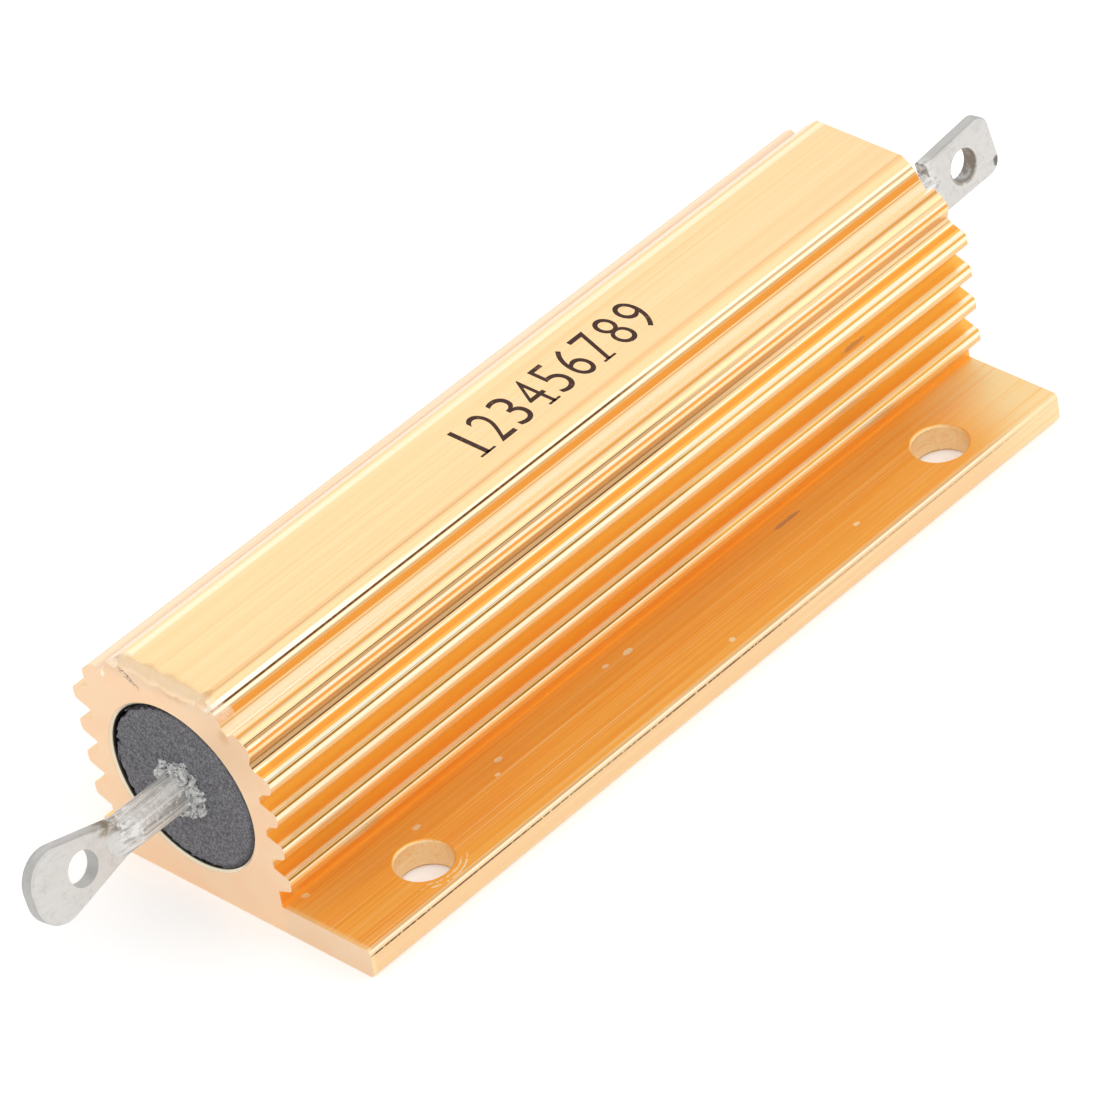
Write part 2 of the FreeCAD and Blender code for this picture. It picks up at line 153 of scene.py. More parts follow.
class Signal:
    """A socket's value; an expression on it adds the Math nodes it needs."""

    def __init__(self, finish, socket):
        self.finish = finish
        self.socket = socket

    def maths(self, operation, *values):
        return self.finish.node("Math", {"operation": operation}, dict(enumerate(values)))

    def __add__(self, other):
        return self.maths("ADD", self, other)

    def __radd__(self, other):
        return self.maths("ADD", other, self)

    def __sub__(self, other):
        return self.maths("SUBTRACT", self, other)

    def __rsub__(self, other):
        return self.maths("SUBTRACT", other, self)

    def __mul__(self, other):
        return self.maths("MULTIPLY", self, other)

    def __rmul__(self, other):
        return self.maths("MULTIPLY", other, self)

    def __truediv__(self, other):
        return self.maths("DIVIDE", self, other)

    def __pow__(self, other):
        return self.maths("POWER", self, other)

    def size(self):
        return self.maths("ABSOLUTE", self)

    def ramp(self, low, high):
        """0 below low, 1 above high and smooth between; high may be the lower of the two."""
        limits = {0: self, 1: min(low, high), 2: max(low, high), 3: float(low > high), 4: float(low < high)}
        return self.finish.node("MapRange", {"interpolation_type": "SMOOTHSTEP"}, limits)

    def past(self, place, soft):
        """1 beyond a place."""
        return self.ramp(place - soft, place + soft)

    def short_of(self, place, soft):
        """1 before a place."""
        return self.ramp(place + soft, place - soft)

    def band(self, centre, half, soft):
        """1 within half of the centre, 0 a soft edge further out."""
        return (self - centre).size().ramp(half + soft, half)


def reach(first, second):
    """Length of the hypotenuse over two signals."""
    return (first * first + second * second) ** 0.5


class Finish:
    """Builds one material's nodes. Positions are in millimetres in the object's own frame."""

    def __init__(self, name):
        self.material = bpy.data.materials.new(name)
        self.material.use_nodes = True
        self.tree = self.material.node_tree
        self.tree.nodes.clear()
        self.shader = self.tree.nodes.new("ShaderNodeBsdfPrincipled")
        output = self.tree.nodes.new("ShaderNodeOutputMaterial")
        self.tree.links.new(self.shader.outputs[0], output.inputs["Surface"])
        place = self.tree.nodes.new("ShaderNodeTexCoord").outputs["Object"]
        self.place = self.node("VectorMath", {"operation": "SCALE"}, {0: place, "Scale": 1 / MM})
        apart = self.node("SeparateXYZ", {}, {0: self.place}).socket.node
        self.x, self.y, self.z = [Signal(self, socket) for socket in apart.outputs]

    def join(self, value, socket):
        if isinstance(value, Signal):
            value = value.socket
        if isinstance(value, bpy.types.NodeSocket):
            self.tree.links.new(value, socket)
        else:
            socket.default_value = value

    def node(self, kind, settings, inputs, output=0):
        """One output of a new node, after its settings and inputs are set or linked."""
        made = self.tree.nodes.new("ShaderNode" + kind)
        for name, value in settings.items():
            setattr(made, name, value)
        for key, value in inputs.items():
            self.join(value, made.inputs[key])
        return Signal(self, made.outputs[output])

    def noise(self, across, along, up, detail=2.0, roughness=0.5):
        """Noise with its own number of waves per millimetre along each axis."""
        place = self.node("VectorMath", {"operation": "MULTIPLY"}, {0: self.place, 1: (across, along, up)})
        return self.node("TexNoise", {}, {"Vector": place, "Scale": 1.0, "Detail": detail, "Roughness": roughness})

    def cells(self, waves):
        """Distance to the nearest of scattered points, with a number of them per millimetre."""
        return self.node("TexVoronoi", {}, {"Vector": self.place, "Scale": waves}, "Distance")

    def mix(self, factor, first, second):
        settings = {"data_type": "RGBA"}
        return self.node("Mix", settings, {0: factor, 6: first, 7: second}, 2)

    def shade(self, factor, first, red, green=None, blue=None):
        """The colour first, multiplied by an amount, or one for each channel, where factor is 1."""
        settings = {"data_type": "RGBA", "blend_type": "MULTIPLY"}
        amount = (red, green or red, blue or red, 1)
        return self.node("Mix", settings, {0: factor, 6: first, 7: amount}, 2)

    def lines(self, first, place, tone, where, *bands):
        """The colour first with bands of the tone across place; a band is its centre, half width and soft edge."""
        cover = place.band(*bands[0])
        for band in bands[1:]:
            cover = cover.maths("MAXIMUM", cover, place.band(*band))
        return self.mix(cover * where, first, tone)

    def spot(self, x, y, wide, long, ragged):
        """1 in a ragged patch round a place in plan."""
        across, along = (self.x - x) / wide, (self.y - y) / long
        return (across * across + along * along + 2.4 * ragged).ramp(2.2, 1.7)

    def gap_to(self, y, z):
        """Distance to a line along X, in millimetres."""
        return reach(self.y - y, self.z - z)

    def bump(self, height, distance):
        """Relief of a height from 0 to 1, with its distance in millimetres."""
        return self.node("Bump", {}, {"Height": height, "Distance": distance * MM})

    def finish(self, **sockets):
        for name, value in sockets.items():
            self.join(value, self.shader.inputs[name.replace("_", " ").title()])
        return self.material


def dress_node(name, material):
    """A CAD node keeps its shape and takes a better material."""
    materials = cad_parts[name].data.materials
    materials.clear()
    materials.append(material)


def merged_copy(name):
    """A closed copy of a CAD node's mesh, with its flat faces whole again."""
    bm = bmesh.new()
    bm.from_mesh(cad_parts[name].data)
    bmesh.ops.remove_doubles(bm, verts=bm.verts, dist=0.0005 * MM)
    bmesh.ops.dissolve_limit(bm, angle_limit=math.radians(0.4), verts=bm.verts, edges=bm.edges)
    return bm


def add_piece(name, bm, material, sharp=35.0):
    mesh = bpy.data.meshes.new(name)
    bm.to_mesh(mesh)
    bm.free()
    mesh.shade_smooth()
    mesh.set_sharp_from_angle(angle=math.radians(sharp))
    mesh.materials.append(material)
    piece = bpy.data.objects.new(name, mesh)
    bpy.context.scene.collection.objects.link(piece)
    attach(piece, "root")
    return piece


def keep_flats_flat(piece):
    modifier = piece.modifiers.new("flats", "WEIGHTED_NORMAL")
    modifier.keep_sharp = True


# Tones of the housing, from light to dark.
WHITE = (1.0, 0.93, 0.70, 1)
SHELL = (1.0, 0.91, 0.78, 1)
IVORY = (1.0, 0.87, 0.64, 1)
WORN = (1.0, 0.79, 0.58, 1)
BLUSH = (1.0, 0.74, 0.53, 1)
PEACH = (1.0, 0.74, 0.48, 1)
SALMON = (1.0, 0.72, 0.47, 1)
APRICOT = (1.0, 0.76, 0.44, 1)
CREAM = (1.0, 0.80, 0.45, 1)
AMBER = (1.0, 0.60, 0.15, 1)
ORANGE = (0.93, 0.36, 0.055, 1)
DEEP_ORANGE = (0.95, 0.50, 0.12, 1)
RUST = (0.86, 0.40, 0.10, 1)
HONEY = (0.88, 0.58, 0.28, 1)
SAND = (0.86, 0.55, 0.27, 1)
KHAKI = (0.72, 0.47, 0.23, 1)
OLIVE = (0.54, 0.34, 0.155, 1)
TAN = (0.74, 0.42, 0.16, 1)
MAUVE = (0.50, 0.29, 0.25, 1)
UMBER = (0.22, 0.15, 0.12, 1)
BROWN = (0.13, 0.045, 0.012, 1)
BLACK = (0.02, 0.017, 0.017, 1)

# Painted reflections and painted shade along the flank, in the order that they go on: the tone, the mask and the
# bands.
# A band is its place across the flank, with the top flat at the lowest numbers, its half width and its soft edge.
FLANK_REFLECTIONS = (
    (ORANGE, "flank", ((-15.05, 0.38, 0.1), (-7.1, 0.25, 0.2), (-9.95, 0.1, 0.1))),
    (SAND, "flank", ((-18.5, 0.22, 0.5),)),
    (TAN, "flank", ((-14.36, 0.05, 0.1), (-15.62, 0.03, 0.08))),
    (RUST, "flank", ((-12.16, 0.14, 0.1),)),
    (OLIVE, "fading", ((-8.75, 0.5, 0.15), (-10.72, 0.1, 0.08))),
    (KHAKI, "fading", ((-9.0, 0.3, 0.1),)),
    (WHITE, "flank", ((-16.02, 0.1, 0.1), (-16.75, 0.12, 0.12), (-12.85, 0.12, 0.12),
                      (-10.33, 0.1, 0.1), (-7.72, 0.08, 0.1), (-6.1, 0.22, 0.12))),
    (SHELL, "near", ((-16.85, 0.22, 0.14), (-13.5, 0.5, 0.12))),
    (CREAM, "flank", ((-9.55, 0.1, 0.1), (-11.5, 0.2, 0.15))),
    (PEACH, "flank", ((-13.6, 0.4, 0.1),)),
    (BROWN, "dark", ((-16.42, 0.11, 0.08), (-8.18, 0.05, 0.09), (-10.95, 0.03, 0.06))),
)

# The same painted reflections and shade for each fin, with places counted from its crest.
CREST_REFLECTIONS = (
    (HONEY, "fins", ((0.95, 0.2, 0.12),)),
    (WHITE, "fins", ((0.44, 0.18, 0.14), (-0.47, 0.2, 0.12))),
    (BROWN, "dark fins", ((0.0, 0.07, 0.1), (-0.25, 0.01, 0.06))),
)

# Painted reflections and shade on the outer face of the flange, with places counted from the plane through the
# bore.
FACE_REFLECTIONS = (
    (BROWN, "dark", ((18.1, 0.05, 0.09),)),
    (TAN, "face", ((17.33, 0.1, 0.1),)),
    (WHITE, "face", ((17.64, 0.08, 0.1),)),
)

# Light specks on the flange: place in plan, half width and half length.
SPECKS = (
    (12.1, -3.5, 0.35, 0.6), (11.8, -6.0, 0.25, 0.4), (18.8, 2.8, 0.35, 0.35), (12.7, -31.0, 0.3, 0.5),
    (12.5, -20.5, 0.3, 0.45), (13.8, -22.0, 0.25, 0.3), (10.8, -42.8, 0.35, 0.5), (17.4, 21.0, 0.25, 0.4),
)


def draw_lines(finish, base, place, table, masks):
    """The base with the lines of a table across place, each under its mask."""
    for tone, mask, bands in table:
        base = finish.lines(base, place, tone, masks[mask], *bands)
    return base


def flank_reflections(finish, base, dark):
    """Painted reflections and painted shade: light and dark lines along the flank with the flange."""
    x, y, z = finish.x, finish.y, finish.z
    flank = x.past(FLANK_REACH, 0.15) * z.past(FLANK_FOOT, 0.2)
    fins = x.past(FIN_ROOT, 0.1) * z.past(FIN_FOOT, 0.15) * z.short_of(FIN_TOP, 0.1)
    masks = {
        "flank": flank,
        "fading": flank * (1 - 0.85 * y.ramp(4.0, 30.0)),
        "near": flank * y.ramp(-12.0, -34.0),
        "dark": flank * dark,
        "fins": fins,
        "dark fins": fins * dark * 0.8,
    }
    across = x - z
    crest = across.maths("WRAP", across - FIRST_CREST, FIN_PITCH / 2, -FIN_PITCH / 2)
    base = draw_lines(finish, base, across, FLANK_REFLECTIONS, masks)
    return draw_lines(finish, base, crest, CREST_REFLECTIONS, masks)


def flange_marks(finish, base, ragged, cloud):
    """Scratches, specks and stains on the flange and the flank, with painted bounce light by the fins and painted
    shade in the holes.
    """
    top = finish.z.band(FLANGE_TOP, 0.02, 0.04)
    base = finish.shade(cloud.ramp(0.48, 0.7) * top * 0.6, base, 0.97, 0.84, 0.88)
    # Painted bounce light: the flange top turns a lighter amber next to the fins.
    base = finish.mix(finish.x.ramp(15.0, 11.5) * top * 0.6, base, AMBER)
    sideways = finish.x - HOLE_PLACE
    wall = reach(sideways, finish.y.size() + HOLE_ALONG).short_of(HOLE_RIM, 0.05)
    base = finish.mix(wall, base, APRICOT)
    # Painted shade: a brown line at the foot of each hole's wall.
    base = finish.lines(base, finish.z, BROWN, wall * 0.6, (0.12, 0.1, 0.12))
    ring = reach(sideways, finish.y - HOLE_ALONG)
    beside = finish.x.ramp(18.3, 18.9) * finish.y.ramp(-38.0, -36.6) * finish.y.ramp(-30.4, -31.4)
    arcs = (ring.band(3.25, 0.05, 0.1) + ring.band(3.75, 0.04, 0.08)) * beside
    bright = arcs * ragged.ramp(0.4, 0.55)
    for spot in SPECKS:
        bright = bright + finish.spot(*spot, ragged)
    base = finish.mix(bright.ramp(0.0, 1.0) * top, base, WHITE)
    stain = finish.spot(11.8, 18.0, 0.3, 1.9, ragged) * top
    groove = (finish.x - finish.z + 3.4) / 0.3
    along = (finish.y - 30.0) / 1.7
    stain = stain + (groove * groove + along * along + 2.4 * ragged).ramp(2.4, 1.5) * finish.x.ramp(9.8, 10.0)
    return finish.mix(stain.ramp(0.0, 1.0) * 0.65, base, MAUVE)


def patch(across, wide, up, tall, ragged):
    """Squared way out from the middle of an oval patch, with ragged levels."""
    return across * across / wide + up * up / tall + ragged


def end_marks(finish, base, ragged):
    """Scratches and smudges on the front end face, near its worn top edge, and a painted glint."""
    x, z = finish.x, finish.z
    front = finish.y.ramp(0.0, -1.0)
    smudge_one = patch(x - 7.1, 0.8, z - 20.3, 1.2, ragged * 2.0).ramp(2.0, 1.0)
    smudge_two = patch(x - 1.6, 5.0, z - 22.3, 0.5, ragged * 2.0).ramp(2.0, 1.1)
    # Painted highlight: a small white glint on the left of the end face.
    glint = patch(x + 7.3, 0.12, z - 20.9, 0.3, ragged).ramp(1.4, 0.9)
    base = finish.mix(glint * front, base, WHITE)
    base = finish.mix((smudge_one * 0.45 + smudge_two * 0.4).ramp(0.0, 1.0) * front, base, TAN)
    slope = z + (x + 4.84) * 0.63 + (ragged - 0.5) * 1.3
    span = x.ramp(-5.1, -4.7) * x.ramp(-2.4, -3.2)
    scratch = (slope.band(22.5, 0.08, 0.1) + slope.band(22.15, 0.05, 0.08) * ragged.ramp(0.4, 0.55)) * span
    return finish.mix(scratch.ramp(0.0, 1.0) * front * 0.8, base, UMBER)


def housing_material(look):
    finish = Finish("anodised_aluminium")
    x, y, z = finish.x, finish.y, finish.z
    sawn = y.size().past(REAR_END - 0.04, 0.02)
    die_lines = finish.noise(2.2, 0.012, 2.2, detail=3.0, roughness=0.6)
    fine_lines = finish.noise(7.0, 0.03, 7.0, detail=2.0)
    ragged = finish.noise(2.2, 2.2, 2.2, detail=3.0, roughness=0.6)
    cloud = finish.noise(0.3, 0.06, 0.3, detail=1.0)
    grain = finish.noise(9.0, 9.0, 9.0, detail=1.0)
    # Painted shade and bounce light: the flange and the grooves beside the fins take the deeper gold.
    flange = x.past(FLANGE_ROOT, 0.2) * z.short_of(FLANGE_TOP + 0.1, 0.05)
    beside_fins = x.past(FIN_ROOT - 0.2, 0.2) * z.short_of(FIN_TOP + 0.1, 0.1) * z.past(FLANGE_TOP, 0.05)
    deep = flange.maths("MAXIMUM", flange, beside_fins)
    drawn = finish.mix(deep, look.anodise[:], look.shaded_anodise[:])
    # Painted shade: a deeper orange in the crease where the lowest fin meets the flange.
    junction_shade = x.short_of(FLANGE_ROOT - 0.1, 0.1) * x.past(FIN_ROOT, 0.2) * z.ramp(4.2, 3.8)
    drawn = finish.mix(junction_shade, drawn, DEEP_ORANGE)
    outer = x.past(FLANGE_FACE, 0.075)
    drawn = finish.mix(outer, drawn, look.anodise[:])
    # Strength of the painted dark lines: weaker towards the rear and broken up by ragged noise.
    dark = (1 - 0.6 * y.ramp(4.0, 12.0)) * (0.6 + 0.6 * ragged).ramp(0.0, 1.0)
    drawn = flank_reflections(finish, drawn, dark)
    # Painted reflections and shade on the rounding of the flange's outer face.
    masks = {"dark": outer * dark * ragged.ramp(0.3, 0.5), "face": outer}
    drawn = draw_lines(finish, drawn, x - z, FACE_REFLECTIONS, masks)
    # Painted highlight: a white line on the top flat near its left edge. The left shoulder beside it takes a blush
    # tone.
    drawn = finish.lines(drawn, x, WHITE, z.ramp(23.3, 23.4) * 0.6, (-4.4, 0.15, 0.35))
    drawn = finish.mix(x.ramp(-4.9, -5.1) * z.ramp(20.0, 20.3), drawn, BLUSH)
    drawn = flange_marks(finish, drawn, ragged, cloud)
    worn = (y + z).ramp(FRONT_END + TOP + 1.0, FRONT_END + TOP + 0.2)
    worn = worn * z.ramp(TOP - 2.0, TOP - 1.8) * y.ramp(FRONT_END + 2.0, FRONT_END + 1.8)
    drawn = finish.mix(worn * (0.35 + 0.3 * ragged.ramp(0.35, 0.65)), drawn, WORN)
    streaks = look.streaks * (0.35 + 0.65 * flange) * (1 - 0.85 * outer) * (1 - worn)
    drawn = finish.shade(die_lines.ramp(0.42, 0.72) * streaks, drawn, 0.97, 0.83, 0.64)
    drawn = finish.shade(fine_lines.ramp(0.52, 0.66) * streaks, drawn, 0.95, 0.74, 0.44)
    drawn = finish.mix(fine_lines.ramp(0.42, 0.30) * flange * 0.5, drawn, CREAM)
    # The flange pales towards its far end; the cream line along its front edge is a painted edge highlight.
    far_end = y.ramp(33.0, 42.5) * die_lines.ramp(0.25, 0.5) * 0.75
    drawn = finish.mix(flange * (far_end + y.ramp(FRONT_END + 0.7, FRONT_END + 0.2) * 0.6), drawn, CREAM)
    from_axis = reach(x, z - BORE_HEIGHT)
    # Painted highlight: an ivory ring on the chamfer at the mouth of the bore.
    mouth = from_axis.ramp(BORE_RADIUS + 0.5, BORE_RADIUS + 0.4) * (1 - sawn)
    drawn = finish.mix(mouth, drawn, IVORY)
    # The bore wall beyond the chamfer is painted near black.
    wall = from_axis.ramp(BORE_RADIUS + 0.14, BORE_RADIUS + 0.06) * (1 - sawn)
    drawn = finish.mix(wall, drawn, BLACK)
    ends = finish.mix(cloud.ramp(0.35, 0.7), look.sawn[:], SALMON)
    ends = finish.shade(grain.ramp(0.55, 0.75) * 0.35, ends, 0.85)
    ends = end_marks(finish, ends, ragged)
    rough = look.roughness + 0.16 * (die_lines - 0.5) + 0.1 * (fine_lines - 0.5) + 0.14 * flange
    relief = die_lines * (1 - sawn) * (1 - worn) * 0.85 + grain * sawn * 0.6
    return finish.finish(
        base_color=finish.mix(sawn, drawn, ends),
        metallic=0.85 - 0.35 * flange - 0.35 * sawn - 0.4 * worn - 0.45 * mouth - 0.4 * wall,
        roughness=rough * (1 - sawn) + 0.5 * sawn,
        normal=finish.bump(relief, 0.012),
    )


# The worn edge: rows on each side of it, cuts on each side of the middle, their distance in millimetres, and how
# near two points are when they count as one.
WEAR_STEPS = 8
WEAR_CUTS = 11
WEAR_CELL = 0.5
SAME = 0.0001


class RESISTOR_OT_housing(Operator):
    """Anodised housing with its worn front top edge"""

    bl_idname = "resistor.housing"
    bl_label = "Housing"

    def execute(self, context):
        look = context.scene.resistor_housing
        bm = merged_copy("housing")
        wear = look.edge_wear / MM
        for step in range(1, WEAR_STEPS + 1):
            inward = wear * step / WEAR_STEPS
            cuts = [
                ((0, FRONT_END + inward, 0), (0, 1, 0)),
                ((0, 0, TOP - inward), (0, 0, 1)),
            ]
            for point, normal in cuts:
                bmesh.ops.bisect_plane(
                    bm, geom=bm.verts[:] + bm.edges[:] + bm.faces[:], dist=SAME * MM,
                    plane_co=Vector(point) * MM, plane_no=normal,
                )
        corner = [
            face for face in bm.faces
            if face.calc_center_median().y / MM < FRONT_END + wear
            and face.calc_center_median().z / MM > TOP - wear
        ]
        for place in range(-WEAR_CUTS, WEAR_CUTS + 1):
            geometry = {item for face in corner if face.is_valid for item in (face, *face.edges, *face.verts)}
            cut = bmesh.ops.bisect_plane(
                bm, geom=list(geometry), dist=SAME * MM,
                plane_co=(place * WEAR_CELL * MM, 0, 0), plane_no=(1, 0, 0),
            )
            corner += [item for item in cut["geom"] if isinstance(item, bmesh.types.BMFace)]
        bmesh.ops.remove_doubles(bm, verts=bm.verts, dist=0.006 * MM)
        bmesh.ops.dissolve_degenerate(bm, edges=bm.edges, dist=0.002 * MM)
        for vert in bm.verts:
            back = vert.co.y / MM - FRONT_END
            drop = TOP - vert.co.z / MM
            if min(back, drop) > 10 * SAME or max(back, drop) > wear:
                continue
            ragged = noise.fractal(Vector((vert.co.x / MM * 0.9, 3.1, 0.4)), 0.6, 2.0, 4)
            here = wear * min(1.0, max(0.5, 0.8 + 0.5 * ragged))
            run = max(back, drop)
            if run >= here:
                continue
            turn = math.radians(45) * (1 - run / here)
            along, away = here * (1 - math.sin(turn)), here * (1 - math.cos(turn))
            if back > drop:
                vert.co.y, vert.co.z = (FRONT_END + along) * MM, (TOP - away) * MM
            elif drop > back:
                vert.co.y, vert.co.z = (FRONT_END + away) * MM, (TOP - along) * MM
            else:
                vert.co.y, vert.co.z = (FRONT_END + away) * MM, (TOP - away) * MM
        piece = add_piece("housing_finished", bm, housing_material(look), 28)
        keep_flats_flat(piece)
        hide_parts("housing")
        return {"FINISHED"}


def compound_material(look):
    finish = Finish("granular_compound")
    from_axis = reach(finish.x, finish.z - BORE_HEIGHT)
    grains = finish.noise(4.2, 4.2, 4.2, detail=4.0, roughness=0.75)
    pits = finish.cells(3.4)
    sand = finish.cells(7.5)
    cloud = finish.noise(0.35, 0.35, 0.35, detail=2.0)
    base = finish.mix(grains.ramp(0.38, 0.62), finish.shade(1.0, look.base[:], 0.42), look.base[:])
    base = finish.mix(sand.ramp(0.32, 0.12) * grains.ramp(0.42, 0.55) * 0.85, base, (0.60, 0.60, 0.63, 1))
    # Painted shade: dark spots stand in for the pits of the face.
    base = finish.shade(pits.ramp(0.26, 0.1) * 0.8, base, 0.3)
    base = finish.shade(cloud.ramp(0.4, 0.7) * 0.3, base, 0.8)
    # Painted shade: the compound darkens towards the wall of the bore.
    base = finish.shade(from_axis.ramp(BORE_RADIUS - 0.6, BORE_RADIUS - 0.1) * 0.7, base, 0.3)
    return finish.finish(
        base_color=base,
        roughness=0.78 + 0.15 * grains,
        normal=finish.bump(grains * 0.6 + sand * 0.4, 0.05),
    )


# The compound: steps of the turn, even rings of the net as shares of its radius, rings near the wall counted
# inwards, and depths down the wall. Then the shrink gap: its middle and half spread in degrees, the least width
# that opens it, and how deep the face and the wall go down in it. Lengths are in millimetres.
TURN_STEPS = 150
EVEN_RINGS = tuple(step / 44 for step in range(39))
WALL_RINGS = (0.75, 0.6, 0.5, 0.4, 0.3, 0.2, 0.1, 0.0)
WALL_DEPTHS = (0.4, 1.2, 3.0)
GAP_MIDDLE, GAP_SPREAD = 190, 100
LEAST_GAP = 0.03
GAP_DEPTH, GAP_WALL = 1.8, 1.2


class RESISTOR_OT_compound(Operator):
    """Granular compound in the bore, shrunk from the wall on one side"""

    bl_idname = "resistor.compound"
    bl_label = "Compound"

    def execute(self, context):
        look = context.scene.resistor_compound
        gap = look.gap / MM
        grain = look.grain / MM
        bm = bmesh.new()
        rings = [BORE_RADIUS * ring for ring in EVEN_RINGS]
        rings += [BORE_RADIUS - inward for inward in WALL_RINGS]
        outline = [(ring, FILLING_FRONT) for ring in rings]
        outline += [(BORE_RADIUS, FILLING_FRONT + depth) for depth in WALL_DEPTHS]
        outline += [(ring, -place) for ring, place in reversed(outline)]
        chain = [bm.verts.new((ring * MM, place * MM, BORE_HEIGHT * MM)) for ring, place in outline]
        edges = [bm.edges.new(pair) for pair in zip(chain, chain[1:])]
        bmesh.ops.spin(
            bm, geom=chain + edges, cent=(0, 0, BORE_HEIGHT * MM), axis=(0, 1, 0),
            angle=2 * math.pi, steps=TURN_STEPS, use_merge=True,
        )
        bmesh.ops.remove_doubles(bm, verts=bm.verts, dist=10 * SAME * MM)
        bmesh.ops.recalc_face_normals(bm, faces=bm.faces)
        for vert in bm.verts:
            x, y, z = vert.co.x / MM, vert.co.y / MM, vert.co.z / MM - BORE_HEIGHT
            radius = math.hypot(x, z)
            side = -1 if y < 0 else 1
            on_face = abs(abs(y) + FILLING_FRONT) < 0.01
            rough = noise.fractal(Vector((x * 1.7, y, z * 1.7)), 0.5, 2.1, 5)
            ragged = noise.fractal(Vector((x * 1.6, 9.0 + side, z * 1.6)), 0.5, 2.0, 4)
            angle = math.degrees(math.atan2(z, x)) % 360
            left = max(0.0, 1 - abs(angle - GAP_MIDDLE) / GAP_SPREAD) ** 0.4
            room = gap * left * max(0.0, 0.7 + 0.9 * ragged)
            if on_face:
                depth = grain * rough - 0.25 + 0.15 * (radius / BORE_RADIUS) ** 4
                if radius > BORE_RADIUS - room - 0.05 and room > LEAST_GAP:
                    depth += GAP_DEPTH
                vert.co.y -= side * depth * MM
            elif radius > BORE_RADIUS - 0.02 and room > LEAST_GAP:
                vert.co.y -= side * GAP_WALL * MM
        piece = add_piece("compound", bm, compound_material(look), 60)
        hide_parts("cement_filling")
        return {"FINISHED"}


def lead_material(look):
    finish = Finish("tinned_metal")
    flow = finish.noise(2.4, 0.35, 2.4, detail=3.0, roughness=0.6)
    flutes = finish.noise(3.2, 0.1, 3.2, detail=2.0)
    dents = finish.noise(0.55, 0.45, 0.55, detail=2.0)
    stain = finish.noise(0.8, 0.6, 0.8, detail=4.0, roughness=0.7)
    scratches = finish.noise(5.0, 1.2, 5.0, detail=2.0)
    shank = finish.y.size().ramp(54.0, 52.5)
    neck = finish.y.band(-53.6, 0.4, 1.4) * finish.z.ramp(12.4, 13.4)
    # Painted shade: faces of the eyes that turn away from the X axis, their edges, are darker.
    facing = finish.node("SeparateXYZ", {}, {0: finish.node("NewGeometry", {}, {}, "Normal")})
    shaded_edge = facing.size().ramp(0.8, 0.5) * (1 - shank)
    dirt = neck * stain.ramp(0.35, 0.6) * 0.8 + 0.3 * stain.ramp(0.56, 0.74)
    dirt = dirt + look.wall_stain * finish.gap_to(*REAR_EYE).ramp(1.85, 1.7) * stain.ramp(0.3, 0.5)
    nick = (finish.gap_to(*REAR_NICK) + stain * 0.8).ramp(1.1, 0.8)
    base = finish.mix(dirt.ramp(0.0, 1.0), look.tin[:], look.tarnish[:])
    mottle = finish.noise(1.5, 1.5, 1.5, detail=5.0, roughness=0.7)
    base = finish.shade(flow.ramp(0.5, 0.7) * (0.2 + 0.3 * shank), base, 0.74)
    base = finish.shade(mottle.ramp(0.52, 0.66) * 0.5, base, 0.78)
    base = finish.shade(flutes.ramp(0.54, 0.62) * shank * 0.8 * mottle.ramp(0.3, 0.5), base, 0.58)
    base = finish.mix((flutes.ramp(0.46, 0.36) + mottle.ramp(0.46, 0.38)).ramp(0.0, 1.0) * shank * 0.75,
                      base, (0.95, 0.94, 0.92, 1))
    base = finish.shade(shaded_edge * 0.75, base, 0.62)
    base = finish.shade(nick, base, 0.25)
    return finish.finish(
        base_color=base,
        metallic=0.4,
        roughness=look.roughness + 0.2 * (flow - 0.5) + 0.12 * (scratches - 0.5),
        normal=finish.bump(dents * 0.5 + flow * 0.2 + (flutes + mottle) * shank * 0.5 + scratches * 0.1, 0.22),
    )


class RESISTOR_OT_leads(Operator):
    """Tinned leads with their beaten eyes"""

    bl_idname = "resistor.leads"
    bl_label = "Leads"

    def execute(self, context):
        material = lead_material(context.scene.resistor_leads)
        for end in ("front", "rear"):
            node = end + "_terminal"
            bm = merged_copy(node)
            piece = add_piece(end + "_lead", bm, material, 50)
            keep_flats_flat(piece)
            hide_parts(node)
        return {"FINISHED"}


def crust_material(look):
    finish = Finish("root_crust")
    grains = finish.noise(2.0, 2.0, 2.0, detail=5.0, roughness=0.75)
    pits = finish.cells(2.0)
    base = finish.mix(grains.ramp(0.34, 0.54), finish.shade(1.0, look.base[:], 0.25), look.base[:])
    # Painted shade: near-black spots stand in for the pits of the crust.
    base = finish.shade(pits.ramp(0.30, 0.16) * 0.9, base, 0.1)
    base = finish.mix(grains.ramp(0.56, 0.66) * 0.8, base, (0.90, 0.90, 0.88, 1))
    return finish.finish(
        base_color=base,
        roughness=0.72,
        normal=finish.bump(grains, 0.16),
    )


